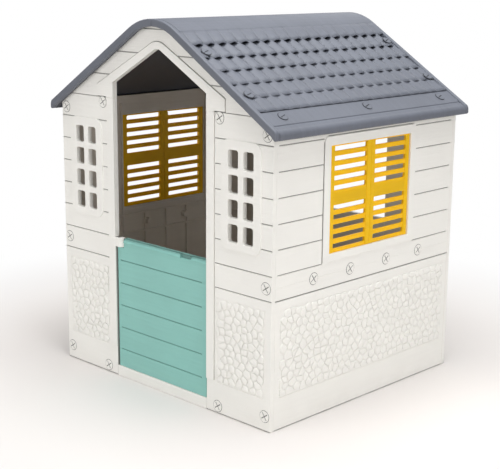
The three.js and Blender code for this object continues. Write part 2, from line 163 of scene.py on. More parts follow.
class Finish:
    """One material and the nodes that make it."""

    def __init__(self, name):
        self.material = bpy.data.materials.new(name)
        self.material.use_nodes = True
        self.nodes = self.material.node_tree.nodes
        self.links = self.material.node_tree.links
        self.shader = self.nodes["Principled BSDF"]
        self.coords = self.node("ShaderNodeTexCoord").outputs["Object"]

    def node(self, kind, settings=None, values=()):
        node = self.nodes.new(kind)
        for key, setting in (settings or {}).items():
            setattr(node, key, setting)
        pairs = values.items() if isinstance(values, dict) else enumerate(values)
        for key, value in pairs:
            self.put(node.inputs[key], value)
        return node

    def put(self, socket, value):
        if isinstance(value, Value):
            value = value.socket
        if isinstance(value, bpy.types.NodeSocket):
            self.links.new(value, socket)
        else:
            socket.default_value = value

    def noise(self, stretch, scale, detail=3.0, rough=0.5):
        place = self.node("ShaderNodeMapping", None, {"Vector": self.coords, "Scale": stretch})
        values = {"Vector": place.outputs[0], "Scale": scale, "Detail": detail, "Roughness": rough}
        return Value(self, self.node("ShaderNodeTexNoise", None, values).outputs["Fac"])

    def height(self):
        split = self.node("ShaderNodeSeparateXYZ", None, {0: self.coords})
        return Value(self, split.outputs["Z"])

    def blend(self, factor, first, second):
        mix = self.node("ShaderNodeMix", {"data_type": "RGBA"})
        self.put(mix.inputs[0], factor)
        self.put(mix.inputs[6], first)
        self.put(mix.inputs[7], second)
        return mix.outputs[2]

    def bump(self, height, distance, strength=1.0):
        values = {"Height": height, "Distance": distance, "Strength": strength}
        return self.node("ShaderNodeBump", None, values).outputs["Normal"]


def tint(colour, factor):
    return (*[min(1.0, channel * factor) for channel in colour], 1.0)


def moulded_plastic(name, colour, grain=1.0, roughness=0.5, dust=0.0, mottle=0.05,
                    glow=0.0):
    """Rotomoulded polyethylene: faint mottling, fine orange peel and a drawn-out wood grain."""
    finish = Finish(name)
    cloud = finish.noise((1, 1, 1), 7.0, 4.0)
    streak = finish.noise((5, 5, 110), 1.0, 5.0, 0.62)
    fine = finish.noise((14, 14, 420), 1.0, 2.0)
    peel = finish.noise((1, 1, 1), 420.0, 2.0)
    scuff = finish.noise((1, 1, 1), 38.0, 6.0, 0.7).ramp(0.60, 0.72)
    tone = cloud * 0.6 + streak * 0.4
    base = finish.blend(tone.ramp(0.3, 0.7), tint(colour, 1 - mottle), tint(colour, 1 + mottle * 0.6))
    base = finish.blend(scuff * 0.10, base, tint(colour, 0.80))
    if dust:
        low = 1 - finish.height().ramp(0.0, 0.09)
        patchy = finish.noise((1, 1, 1), 16.0, 5.0, 0.65).ramp(0.35, 0.7)
        base = finish.blend(low * patchy * dust, base, (0.50, 0.44, 0.36, 1.0))
    finish.put(finish.shader.inputs["Base Color"], base)
    rough = cloud * 0.14 + scuff * 0.10 + (roughness - 0.09)
    finish.put(finish.shader.inputs["Roughness"], rough)
    surface = streak.ramp(0.42, 0.60) * (0.75 * grain) + fine * (0.35 * grain) + peel * 0.22
    finish.put(finish.shader.inputs["Normal"], finish.bump(surface, 0.0005, 0.55))
    finish.shader.inputs["Specular IOR Level"].default_value = 0.2 if glow else 0.38
    finish.shader.inputs["Subsurface Weight"].default_value = glow
    finish.shader.inputs["Subsurface Radius"].default_value = (1.0, 0.95, 0.7)
    finish.shader.inputs["Subsurface Scale"].default_value = 9 * MM
    return finish.material


def stipple_plastic(name, colour, roughness=0.55):
    """The roof's satin plastic: fine leather stipple, slight streaks down the slope, pale chalky patches.
    """
    finish = Finish(name)
    cloud = finish.noise((1, 1, 1), 5.0, 5.0)
    streak = finish.noise((9, 70, 9), 1.0, 4.0, 0.6)
    speck = finish.noise((1, 1, 1), 260.0, 3.0)
    tone = cloud * 0.55 + streak * 0.45
    base = finish.blend(tone.ramp(0.32, 0.68), tint(colour, 0.92), tint(colour, 1.07))
    chalk = finish.noise((1, 1, 1), 24.0, 6.0, 0.72).ramp(0.62, 0.76)
    base = finish.blend(chalk * 0.12, base, tint(colour, 1.5))
    finish.put(finish.shader.inputs["Base Color"], base)
    finish.put(finish.shader.inputs["Roughness"], cloud * 0.16 + speck * 0.08 + (roughness - 0.12))
    finish.put(finish.shader.inputs["Normal"], finish.bump(speck + streak * 0.4, 0.0004, 0.5))
    finish.shader.inputs["Specular IOR Level"].default_value = 0.45
    return finish.material


def finishes():
    """Each finish by its slot. Made once, then found again by name."""
    colours = bpy.context.scene.playhouse_colours
    made = bpy.data.materials.get("wall plastic")
    if made is None:
        moulded_plastic("wall plastic", colours.wall, dust=0.06, mottle=0.02)
        moulded_plastic("door plastic", colours.door, grain=1.1, dust=0.05)
        moulded_plastic("shutter plastic", colours.shutter, grain=0.4, roughness=0.45, glow=0.35)
        moulded_plastic("screw plastic", colours.wall, grain=0.0, roughness=0.42, mottle=0.02)
        stipple_plastic("roof plastic", colours.roof)
        # Darker copies of each plastic: painted shade for grooves, slots, seams and the doorway's sides.
        moulded_plastic("wall plastic shade", tint(colours.wall, 0.40)[:3], mottle=0.08)
        moulded_plastic("door plastic shade", tint(colours.door, 0.55)[:3], mottle=0.08)
        moulded_plastic("shutter plastic shade", tint(colours.shutter, 0.6)[:3])
        moulded_plastic("screw plastic shade", tint(colours.wall, 0.22)[:3], mottle=0.1)
        stipple_plastic("roof plastic shade", tint(colours.roof, 0.22)[:3])
        # Darker, warmer inner copies: painted shade for the dim inside of the house and the roof's
        # underside.
        moulded_plastic("wall plastic inner shade", (0.72, 0.66, 0.585))
        stipple_plastic("roof plastic inner shade", tint(colours.roof, 0.5)[:3])
    found = {}
    for name in ("wall", "door", "shutter", "screw", "roof"):
        found[name + "_plastic"] = bpy.data.materials[name + " plastic"]
        found[name + "_plastic_shade"] = bpy.data.materials[name + " plastic shade"]
        inner = bpy.data.materials.get(name + " plastic inner shade", found[name + "_plastic"])
        found[name + "_plastic_inner"] = inner
    return found


# Mesh building. A plate is worked flat, with Z outwards, and then placed on its wall.

def facing(turn, distance):
    """Local X runs to the right, Y up and Z outwards, with Z = 0 on the wall's outer face."""
    upright = Matrix.Rotation(math.pi / 2, 4, "X")
    return Matrix.Rotation(turn, 4, "Z") @ Matrix.Translation((0, -distance, 0)) @ upright


WALLS = {
    "front": facing(0, HALF_DEPTH),
    "back": facing(math.pi, HALF_DEPTH),
    "right": facing(math.pi / 2, HALF_WIDTH),
    "left": facing(-math.pi / 2, HALF_WIDTH),
}


def slope_frame(side):
    """Local X runs along the ridge, Y up the slope from the sharp apex, Z out of the slope."""
    axes = Matrix(((0, -RUN, RISE, 0), (1, 0, 0, 0), (0, RISE, RUN, APEX), (0, 0, 0, 1)))
    return axes if side > 0 else Matrix.Rotation(math.pi, 4, "Z") @ axes


def plate(left, right, low, high):
    bm = bmesh.new()
    bmesh.ops.create_grid(bm, x_segments=1, y_segments=1, size=0.5)
    bmesh.ops.scale(bm, vec=(right - left, high - low, 1), verts=bm.verts)
    middle = ((left + right) / 2, (low + high) / 2, 0)
    bmesh.ops.translate(bm, vec=middle, verts=bm.verts)
    return bm


def cut(bm, point, normal, trim=False):
    """Scores a line through the mesh, or trims off what lies on the normal's side."""
    everything = bm.verts[:] + bm.edges[:] + bm.faces[:]
    bmesh.ops.bisect_plane(bm, geom=everything, dist=1e-6, plane_co=(*point, 0),
                           plane_no=(*normal, 0), clear_outer=trim)


def score(bm, across=(), up=()):
    for x in across:
        cut(bm, (x, 0), (1, 0))
    for y in up:
        cut(bm, (0, y), (0, 1))


def drop(bm, test):
    gone = [f for f in bm.faces if test(*f.calc_center_median().xy)]
    bmesh.ops.delete(bm, geom=gone, context="FACES")


def disc(radius, segments=28):
    bm = bmesh.new()
    bmesh.ops.create_circle(bm, cap_ends=True, segments=segments, radius=radius)
    return bm


def push(bm, faces, offset):
    """Extrudes faces by an offset, and gives the new points and faces."""
    made = bmesh.ops.extrude_face_region(bm, geom=faces)["geom"]
    points = [item for item in made if isinstance(item, bmesh.types.BMVert)]
    bmesh.ops.translate(bm, vec=offset, verts=points)
    return points, [item for item in made if isinstance(item, bmesh.types.BMFace)]


def thicken(bm, depth, inner=0):
    """Gives a flat plate its depth. The new back faces take the darker inner copy's index, painted shade
    for the inside.
    """
    push(bm, bm.faces[:], (0, 0, -depth))
    bmesh.ops.recalc_face_normals(bm, faces=bm.faces)
    for face in bm.faces:
        if inner and face.normal.z < -0.9:
            face.material_index = inner


def lift(bm, test, height, shade=False, back=False):
    """Raises or sinks the outer or back faces whose centres pass the test. Shaded ones take the darker
    copy, painted shade in the hollow.
    """
    if back:
        chosen = [f for f in bm.faces if f.normal.z < -0.5]
    else:
        chosen = [f for f in bm.faces if f.normal.z > 0.5 and abs(f.calc_center_median().z) < 1e-5]
    chosen = [f for f in chosen if test(*f.calc_center_median().xy)]
    if not chosen:
        raise RuntimeError("no face to lift")
    for face in push(bm, chosen, (0, 0, height))[1]:
        if shade:
            face.material_index = SHADE
    left = [f for f in chosen if f.is_valid]
    bmesh.ops.delete(bm, geom=left, context="FACES")


def joined(parts):
    """Several bmeshes as one."""
    whole = bmesh.new()
    for part in parts:
        mesh = bpy.data.meshes.new("part")
        part.to_mesh(mesh)
        part.free()
        whole.from_mesh(mesh)
        bpy.data.meshes.remove(mesh)
    return whole


def add_piece(bm, name, place, slot, nodes=(), body="house", rounding=None, smooth=False):
    bmesh.ops.transform(bm, matrix=place, verts=bm.verts)
    bmesh.ops.recalc_face_normals(bm, faces=bm.faces)
    for face in bm.faces:
        face.smooth = smooth
    mesh = bpy.data.meshes.new(name)
    bm.to_mesh(mesh)
    bm.free()
    mesh.materials.append(finishes()[slot])
    mesh.materials.append(finishes()[slot + "_shade"])
    mesh.materials.append(finishes()[slot + "_inner"])
    piece = bpy.data.objects.new(name, mesh)
    bpy.context.scene.collection.objects.link(piece)
    if rounding:
        bevel = piece.modifiers.new("moulded edges", "BEVEL")
        bevel.width = rounding
        bevel.segments = 2
        bevel.limit_method = "ANGLE"
        bevel.angle_limit = math.radians(35)
    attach(piece, body)
    if nodes:
        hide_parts(*nodes)
    return piece


def box(left, right, low, high, back, front):
    bm = plate(left, right, low, high)
    bmesh.ops.translate(bm, vec=(0, 0, front), verts=bm.verts)
    thicken(bm, front - back)
    return bm


def round_corners(bm, corners, radius, segments=1, clamp=False):
    bmesh.ops.bevel(bm, geom=corners, offset=radius, offset_type="OFFSET", segments=segments,
                    profile=0.5, affect="VERTICES", material=-1, clamp_overlap=clamp)


def cut_holes(bm, test, radius):
    """Takes out the faces that pass the test, as holes with rounded corners."""
    holes = [f for f in bm.faces if test(*f.calc_center_median().xy)]
    round_corners(bm, list({v for f in holes for v in f.verts}), radius)
    drop(bm, test)


def rounded_plate(left, right, low, high, radius, keep_bottom=False):
    bm = plate(left, right, low, high)
    corners = [v for v in bm.verts if not (keep_bottom and v.co.y < (low + high) / 2)]
    round_corners(bm, corners, radius, 7)
    return bm


# Boards, stones and outlines

BOARD_LINES = [FIRST_BOARD + BOARD * i for i in range(BOARDS)]


def in_groove(y, width):
    return any(abs(y - line) < width / 2 for line in BOARD_LINES)


def score_boards(bm, low, high, sizes):
    half = sizes.groove / 2
    for y in BOARD_LINES:
        if low < y < high:
            score(bm, up=(y - half, y + half))


def swell(bm):
    """Turns one flat outline into a low dome."""
    face = bm.faces[:][0]
    middle = face.calc_center_median()
    for spread, height in ((1.0, 2.6 * MM), (0.93, 0.7 * MM), (0.87, 0.5 * MM), (0.66, 0.6 * MM)):
        ring, top = push(bm, [face], (0, 0, height))
        space = Matrix.Translation(-middle)
        bmesh.ops.scale(bm, vec=(spread, spread, 1), space=space, verts=ring)
        if face.is_valid:
            bmesh.ops.delete(bm, geom=[face], context="FACES_ONLY")
        face = top[0]


def stone_field(left, right, low, high, seed):
    """Irregular domed stones that fill a rectangle, each cut out against its neighbours."""
    sizes = bpy.context.scene.playhouse_sizes
    pitch = sizes.stone
    joint = 1.0 * MM
    draw = random.Random(seed)
    rows = round((high - low) / (pitch * 0.86))
    columns = round((right - left) / (pitch * 1.12))
    seeds = []
    for row in range(-1, rows + 1):
        for column in range(-1, columns + 1):
            stagger = 0.5 * (row % 2)
            x = left + (column + 0.5 + stagger + draw.uniform(-0.33, 0.33)) * (right - left) / columns
            y = low + (row + 0.5 + draw.uniform(-0.33, 0.33)) * (high - low) / rows
            seeds.append(Vector((x, y)))
    stones = []
    reach = pitch * 2.4
    for seed_point in seeds:
        x, y = seed_point
        if not (left < x < right and low < y < high):
            continue
        stone = plate(max(left, x - reach), min(right, x + reach),
                      max(low, y - reach), min(high, y + reach))
        near = [s for s in seeds if s is not seed_point and (s - seed_point).length < reach]
        for other in near:
            away = (other - seed_point).normalized()
            edge = (seed_point + other) / 2 - away * joint
            cut(stone, tuple(edge), tuple(away), trim=True)
        if not stone.faces:
            stone.free()
            continue
        round_corners(stone, stone.verts[:], 2.6 * MM, clamp=True)
        bmesh.ops.remove_doubles(stone, verts=stone.verts, dist=0.4 * MM)
        if not stone.faces:
            stone.free()
            continue
        swell(stone)
        rise = sizes.stone_height * draw.uniform(0.75, 1.05) - 4.6 * MM
        bmesh.ops.translate(stone, vec=(0, 0, rise), verts=stone.verts)
        stones.append(stone)
    return joined(stones)


SPRING = 910 * MM
ARCH_RISE = 0.56
ARCH_TOP = SPRING + ARCH_RISE * HALF_DOOR
ARCH_RADIUS = 34 * MM
EAR_REACH = 272 * MM
EAR_LOW = 866 * MM
BAND_SPRING = 900 * MM
BAND_RISE = 0.535
BAND_TOP = BAND_SPRING + BAND_RISE * EAR_REACH
BAND_RADIUS = 60 * MM
EDGE_LINE = 2.2 * MM
# Height of the foot line along the ground; its dark floor is painted contact shadow.
FOOT = 2.6 * MM
SURROUND_HALF = 230 * MM
STONE_LOW = 93 * MM
STONE_HIGH = 344 * MM
STONE_INSET = 2 * MM
STONE_RECESS = 1.4 * MM


def arch_lines(top, rise, radius, steps=3):
    """Lines (point, outward normal) that bound a pointed arch with a rounded tip."""
    lean = math.atan(rise)
    centre = top - radius / math.cos(lean)
    lines = []
    for i in range(-steps, steps + 1):
        angle = lean * i / steps
        normal = (math.sin(angle), math.cos(angle))
        lines.append(((radius * normal[0], centre + radius * normal[1]), normal))
    return lines


def under(lines, x, y):
    return all((x - p[0]) * n[0] + (y - p[1]) * n[1] < 0 for p, n in lines)


def roof_lines(depth):
    lines = []
    centre = APEX - RIDGE_RADIUS / RUN
    for i in range(-4, 5):
        angle = PITCH * i / 4
        normal = (math.sin(angle), math.cos(angle))
        radius = RIDGE_RADIUS - depth
        lines.append(((radius * normal[0], centre + radius * normal[1]), normal))
    return lines


def trim_to_roof(bm, depth=17.5 * MM):
    for point, normal in roof_lines(depth):
        cut(bm, point, normal, trim=True)


def gable_piece(wall, node):
    sizes = bpy.context.scene.playhouse_sizes
    inner = arch_lines(ARCH_TOP, ARCH_RISE, ARCH_RADIUS)
    band = arch_lines(BAND_TOP, BAND_RISE, BAND_RADIUS)
    rim = arch_lines(BAND_TOP + EDGE_LINE * 1.15, BAND_RISE, BAND_RADIUS + EDGE_LINE)
    bm = plate(-HALF_WIDTH, HALF_WIDTH, SEAM + 0.3 * MM, APEX)
    trim_to_roof(bm)
    for x in (HALF_DOOR, SURROUND_HALF, SURROUND_HALF + EDGE_LINE, EAR_REACH, EAR_REACH + EDGE_LINE):
        score(bm, across=(-x, x))
    score(bm, up=(EAR_LOW - EDGE_LINE, EAR_LOW))
    score_boards(bm, SEAM + 10 * MM, APEX, sizes)
    for point, normal in inner + band + rim:
        cut(bm, point, normal)
    drop(bm, lambda x, y: abs(x) < HALF_DOOR and under(inner, x, y))
    thicken(bm, WALL, inner=INNER_SHADE)

    def in_band(x, y):
        wide = EAR_REACH if y > EAR_LOW else SURROUND_HALF
        return abs(x) < wide and under(band, x, y)

    def in_rim(x, y):
        wide = EDGE_LINE + (EAR_REACH if y > EAR_LOW - EDGE_LINE else SURROUND_HALF)
        return abs(x) < wide and under(rim, x, y)

    # Painted shade: the board grooves and the line round the surround take the darker copy.
    lift(bm, lambda x, y: (in_groove(y, sizes.groove) or in_rim(x, y)) and not in_band(x, y),
         -sizes.groove_depth, shade=True)
    lift(bm, in_band, sizes.trim)
    add_piece(bm, node, WALLS[wall], "wall_plastic", [node], rounding=sizes.rounding)


PANE_X = 333 * MM
PANE_LOW = 490 * MM
PANE_HIGH = 794 * MM
PANE_HALF = 76 * MM


def panel_piece(wall, side, node):
    """A tall panel beside the doorway, with its window cut-out, boards and surround."""
    sizes = bpy.context.scene.playhouse_sizes
    left, right = sorted((side * HALF_DOOR, side * HALF_WIDTH))
    lap = 8 * MM
    middle = side * PANE_X
    cut_left, cut_right = middle - PANE_HALF + lap, middle + PANE_HALF - lap
    cut_low, cut_high = PANE_LOW + lap, PANE_HIGH - lap
    base = 96 * MM
    bm = plate(left, right, 0, SEAM)
    trim_to_roof(bm)
    stone_left, stone_right = sorted((side * 238 * MM, side * 425 * MM))
    score(bm, across=(side * SURROUND_HALF, side * (SURROUND_HALF + EDGE_LINE)))
    score(bm, across=(cut_left, cut_right, stone_left, stone_right),
          up=(FOOT, base, cut_low, cut_high, STONE_LOW, STONE_HIGH))
    score(bm, up=(LEAF[1][2],))
    score_boards(bm, 300 * MM, SEAM - 5 * MM, sizes)
    drop(bm, lambda x, y: cut_left < x < cut_right and cut_low < y < cut_high)
    thicken(bm, WALL, inner=INNER_SHADE)

    def in_band(x, y):
        return abs(x) < SURROUND_HALF and y > base

    def in_line(x, y):
        beside = SURROUND_HALF < abs(x) < SURROUND_HALF + EDGE_LINE
        return beside and y > base or y < FOOT

    def in_stone(x, y):
        return stone_left < x < stone_right and STONE_LOW < y < STONE_HIGH

    # Painted shade: the board grooves, the lines beside the surround and the foot line take the darker
    # copy.
    lift(bm, lambda x, y: in_line(x, y) or in_groove(y, sizes.groove) and not in_band(x, y),
         -sizes.groove_depth, shade=True)
    # Painted shadow: the doorway's side faces beside the leaf take the darker copy.
    for face in bm.faces:
        spot = face.calc_center_median()
        if abs(face.normal.x) > 0.9 and abs(abs(spot.x) - HALF_DOOR) < MM and spot.y < LEAF[1][2]:
            face.material_index = SHADE
    lift(bm, in_stone, -STONE_RECESS)
    lift(bm, in_band, sizes.trim)
    add_piece(bm, node, WALLS[wall], "wall_plastic", [node], rounding=sizes.rounding)
    stones = stone_field(stone_left + STONE_INSET, stone_right - STONE_INSET,
                         STONE_LOW + STONE_INSET, STONE_HIGH - STONE_INSET, node)
    add_piece(stones, node + "_stones", WALLS[wall], "wall_plastic", smooth=True)
    add_piece(pane_frame(middle), node + "_window", WALLS[wall], "wall_plastic",
              rounding=sizes.rounding)


def pane_frame(middle):
    """The raised window frame with eight small panes."""
    sizes = bpy.context.scene.playhouse_sizes
    wide, tall = 38 * MM, 51 * MM
    pitch_x, pitch_y = 58 * MM, 68 * MM
    first = 512 * MM
    columns = [middle + offset * pitch_x / 2 for offset in (-1, 1)]
    rows = [first + i * pitch_y for i in range(4)]
    bm = rounded_plate(middle - PANE_HALF, middle + PANE_HALF, PANE_LOW, PANE_HIGH, 27 * MM)
    for x in columns:
        score(bm, across=(x - wide / 2, x + wide / 2))
    for y in rows:
        score(bm, up=(y, y + tall))

    def is_pane(x, y):
        return any(abs(x - c) < wide / 2 for c in columns) and any(r < y < r + tall for r in rows)

    cut_holes(bm, is_pane, 4.5 * MM)
    bmesh.ops.translate(bm, vec=(0, 0, sizes.trim), verts=bm.verts)
    thicken(bm, WALL + sizes.trim - MM, inner=INNER_SHADE)
    return bm


def window_surround():
    """The raised frame round a side window, with round top corners and legs below the sill."""
    sizes = bpy.context.scene.playhouse_sizes
    half, top, low = 207 * MM, 798 * MM, 443.6 * MM
    bm = rounded_plate(-half, half, low, top, 16 * MM, keep_bottom=True)
    opening = 180.5 * MM
    low_edge, high_edge = 465.7 * MM, 771.3 * MM
    score(bm, across=(-opening, opening), up=(low_edge, high_edge))
    drop(bm, lambda x, y: abs(x) < opening and low_edge < y < high_edge)
    bmesh.ops.translate(bm, vec=(0, 0, sizes.trim), verts=bm.verts)
    thicken(bm, WALL + sizes.trim - MM, inner=INNER_SHADE)
    return bm


def side_wall(wall):
    sizes = bpy.context.scene.playhouse_sizes
    top = APEX - math.tan(PITCH) * HALF_WIDTH - 19 * MM
    bm = plate(-WALL_END, WALL_END, FIRST_BOARD + 0.3 * MM, top)
    hole = 192 * MM
    low_edge, high_edge = 456 * MM, 784 * MM
    frame_edge, frame_low, frame_high = 207 * MM, FIRST_BOARD + BOARD, 798 * MM
    reach = WALL_END - 8 * MM
    score(bm, across=(-reach, -hole, hole, reach), up=(low_edge, high_edge, 407.5 * MM, 408.5 * MM))
    score(bm, across=(-frame_edge - EDGE_LINE, -frame_edge, frame_edge, frame_edge + EDGE_LINE),
          up=(frame_high - 14 * MM, frame_high, frame_high + EDGE_LINE))
    score_boards(bm, FIRST_BOARD + 20 * MM, top, sizes)
    drop(bm, lambda x, y: abs(x) < hole and low_edge < y < high_edge)
    thicken(bm, WALL, inner=INNER_SHADE)

    def in_line(x, y):
        leg = frame_edge < abs(x) < frame_edge + EDGE_LINE and frame_low < y < frame_high - 14 * MM
        head = abs(x) < hole and frame_high < y < frame_high + EDGE_LINE
        return leg or head

    def in_board(x, y):
        return in_groove(y, sizes.groove) and frame_edge < abs(x) < reach

    # Painted shade: the frame lines and the board grooves take the darker copy.
    lift(bm, lambda x, y: in_line(x, y) or in_board(x, y), -sizes.groove_depth, shade=True)
    lift(bm, lambda x, y: 407.5 * MM < y < 408.5 * MM, -0.7 * MM)
    add_piece(bm, wall + "_wall_upper", WALLS[wall], "wall_plastic", [wall + "_wall_upper"],
              rounding=sizes.rounding)
    add_piece(window_surround(), wall + "_window_surround", WALLS[wall], "wall_plastic",
              rounding=sizes.rounding)
    bm = plate(-WALL_END, WALL_END, 0, FIRST_BOARD - 0.6 * MM)
    reach = 376 * MM
    seam = FIRST_BOARD - 3.2 * MM
    score(bm, across=(-reach, reach), up=(FOOT, STONE_LOW, STONE_HIGH, seam))
    thicken(bm, WALL, inner=INNER_SHADE)
    # Painted shade: the foot line along the ground and the seam under the boards take the darker copy.
    lift(bm, lambda x, y: y < FOOT or y > seam, -sizes.groove_depth, shade=True)
    lift(bm, lambda x, y: abs(x) < reach and STONE_LOW < y < STONE_HIGH, -STONE_RECESS)
    add_piece(bm, wall + "_wall_lower", WALLS[wall], "wall_plastic", [wall + "_wall_lower"],
              rounding=sizes.rounding)
    stones = stone_field(STONE_INSET - reach, reach - STONE_INSET,
                         STONE_LOW + STONE_INSET, STONE_HIGH - STONE_INSET, wall)
    add_piece(stones, wall + "_wall_stones", WALLS[wall], "wall_plastic", smooth=True)


def inner_ribs(wall):
    """Stiffening ribs, lap strip and screw bosses on a side wall's inner face."""
    parts = []
    inner = -WALL
    for i in range(9):
        x = -WALL_END + 18 * MM + i * (2 * WALL_END - 36 * MM) / 8
        top = 440 * MM if abs(x) < 185 * MM else 810 * MM
        parts.append(box(x - 2 * MM, x + 2 * MM, 8 * MM, top, inner - 7 * MM, inner + MM))
    reach = WALL_END - 12 * MM
    for low, high in ((372 * MM, 378 * MM), (436 * MM, 441 * MM)):
        parts.append(box(-reach, reach, low, high, inner - 7 * MM, inner + MM))
    for x in (-241, -83, 83, 241):
        boss = disc(11 * MM, 20)
        bmesh.ops.translate(boss, vec=(x * MM, 407 * MM, inner + MM), verts=boss.verts)
        thicken(boss, 16 * MM)
        parts.append(boss)
    ribs = joined(parts)
    # The ribs take the darker inner copy: painted shade inside the house.
    for face in ribs.faces:
        face.material_index = INNER_SHADE
    add_piece(ribs, wall + "_inner_ribs", WALLS[wall], "wall_plastic", rounding=0.8 * MM)


# Roof

def slope_point(distance, depth):
    """A point of the roof's section: distance down from the sharp apex, depth under the surface."""
    return Vector((distance * RUN - depth * RISE, 0, APEX - distance * RISE - depth * RUN))


def ridge_point(step, depth):
    angle = PITCH * step
    radius = RIDGE_RADIUS - depth
    centre = APEX - RIDGE_RADIUS / RUN
    return Vector((radius * math.sin(angle), 0, centre + radius * math.cos(angle)))


EAVE = (EAVE_REACH - 1.0 * MM) / RUN
ROW_LIPS = [178, 240, 300, 361, 422, 481]
TILE_TOP = 118 * MM
TILE_END = 418 * MM
BED_END = 482.5 * MM
EAVE_BAND = 3.5 * MM
DRIP_LINE = 540 * MM


def section_strip(points, back, front, side):
    """A closed outline in the XZ plane, carried along Y."""
    bm = bmesh.new()
    verts = [bm.verts.new((side * p.x, back, p.z)) for p in points]
    face = bm.faces.new(verts)
    push(bm, [face], (0, front - back, 0))
    bmesh.ops.recalc_face_normals(bm, faces=bm.faces)
    return bm


def bend(start, corner, end, steps=6):
    """Points of a rounded corner."""
    spots = [i / steps for i in range(steps + 1)]
    return [start.lerp(corner, t).lerp(corner.lerp(end, t), t) for t in spots]


def eave_nose(depth):
    """The rounded eave, from the slope down to the underside."""
    low = ROOF[0][2]
    outer = Vector((EAVE_REACH, 0, low + 12 * MM))
    corner = Vector((EAVE_REACH, 0, slope_point(EAVE, depth).z + 1 * MM))
    under = Vector((EAVE_REACH - 7 * MM, 0, low))
    top = bend(slope_point(EAVE - 11 * MM, depth), corner, outer)
    return top + bend(Vector((EAVE_REACH, 0, low + 5 * MM)), Vector((EAVE_REACH, 0, low)), under, 3)


def roof_shell(side):
    drop_depth = bpy.context.scene.playhouse_sizes.tile_drop + 6.5 * MM
    arc = [ridge_point(i / 6, 0) for i in range(7)]
    inner_arc = [ridge_point(i / 6, 17 * MM) for i in range(7)]
    eave = eave_nose(EAVE_BAND) + [slope_point(EAVE - 9 * MM, 17 * MM)]
    top = arc + [slope_point(TILE_TOP, 0), slope_point(TILE_TOP, drop_depth),
                 slope_point(BED_END, drop_depth), slope_point(BED_END, EAVE_BAND),
                 slope_point(DRIP_LINE - 3 * MM, EAVE_BAND),
                 slope_point(DRIP_LINE - 1.5 * MM, EAVE_BAND + 2 * MM),
                 slope_point(DRIP_LINE + 1.5 * MM, EAVE_BAND + 2 * MM),
                 slope_point(DRIP_LINE + 3 * MM, EAVE_BAND)]
    middle = section_strip(top + eave + inner_arc[::-1], -TILE_END, TILE_END, side)
    # The underside takes the darker inner copy: painted shade under the roof.
    under_face = Vector((-side * RISE, 0, -RUN))
    for face in middle.faces:
        if face.normal.dot(under_face) > 0.9:
            face.material_index = INNER_SHADE
    fascia_eave = eave_nose(0.8 * MM) + [slope_point(EAVE - 7 * MM, 21 * MM)]
    fascia_arc = [ridge_point(i / 6, 21 * MM) for i in range(7)]
    edges = []
    for y0, y1 in ((-ROOF_END, -TILE_END), (TILE_END, ROOF_END)):
        edges.append(section_strip(arc + fascia_eave + fascia_arc[::-1], y0, y1, side))
    name = "roof_right" if side > 0 else "roof_left"
    add_piece(middle, name, Matrix.Identity(4), "roof_plastic", [name], rounding=1.0 * MM)
    add_piece(joined(edges), name + "_borders", Matrix.Identity(4), "roof_plastic", rounding=4.5 * MM)


def barrel_tile(width, low, high, crown, valley, tuck):
    """One barrel tile between two distances down the slope, thin-walled and open at its lip."""
    bm = bmesh.new()
    bmesh.ops.create_grid(bm, x_segments=10, y_segments=4, size=0.5)
    for vert in bm.verts:
        across, along = vert.co.x, vert.co.y + 0.5
        arch = 0.5 + 0.5 * math.cos(2 * math.pi * across)
        if tuck:
            depth = (1 - arch) * valley + along * tuck
        else:
            depth = (1 - arch) * valley * (1 - along) ** 1.8
        vert.co = Vector((across * width, -(low + (high - low) * along), crown - depth))
    push(bm, bm.faces[:], (0, 0, -2.2 * MM))
    return bm


def roof_tiles(side):
    sizes = bpy.context.scene.playhouse_sizes
    whole = bmesh.new()
    count = int(2 * TILE_END / sizes.tile) + 2
    for row, lip in enumerate(ROW_LIPS):
        low = lip * MM
        high = TILE_TOP if row == 0 else (ROW_LIPS[row - 1] - 9) * MM
        tuck = 0 if row == 0 else (6.6 - 0.8 * row) * MM
        valley = sizes.tile_drop * (1 - 0.15 * row)
        crown = -0.1 * MM if row == 0 else -0.5 * MM
        tile = barrel_tile(sizes.tile, low, high, crown, valley, tuck)
        mesh = bpy.data.meshes.new("tile")
        tile.to_mesh(mesh)
        tile.free()
        phase = 13 * MM if row % 2 == 0 else -9.4 * MM
        for i in range(-count // 2, count // 2 + 1):
            start = len(whole.verts)
            whole.from_mesh(mesh)
            whole.verts.ensure_lookup_table()
            shift = (side * phase + i * sizes.tile, 0, 0)
            bmesh.ops.translate(whole, vec=shift, verts=whole.verts[start:])
        bpy.data.meshes.remove(mesh)
    for end in (-1, 1):
        cut(whole, (end * TILE_END, 0), (end, 0), trim=True)
    gone = [v for v in whole.verts if abs(v.co.x) > TILE_END + MM]
    bmesh.ops.delete(whole, geom=gone, context="VERTS")
    bmesh.ops.holes_fill(whole, edges=[e for e in whole.edges if e.is_boundary], sides=0)
    name = "roof_right_tiles" if side > 0 else "roof_left_tiles"
    add_piece(whole, name, slope_frame(side), "roof_plastic", smooth=True)


# Screws

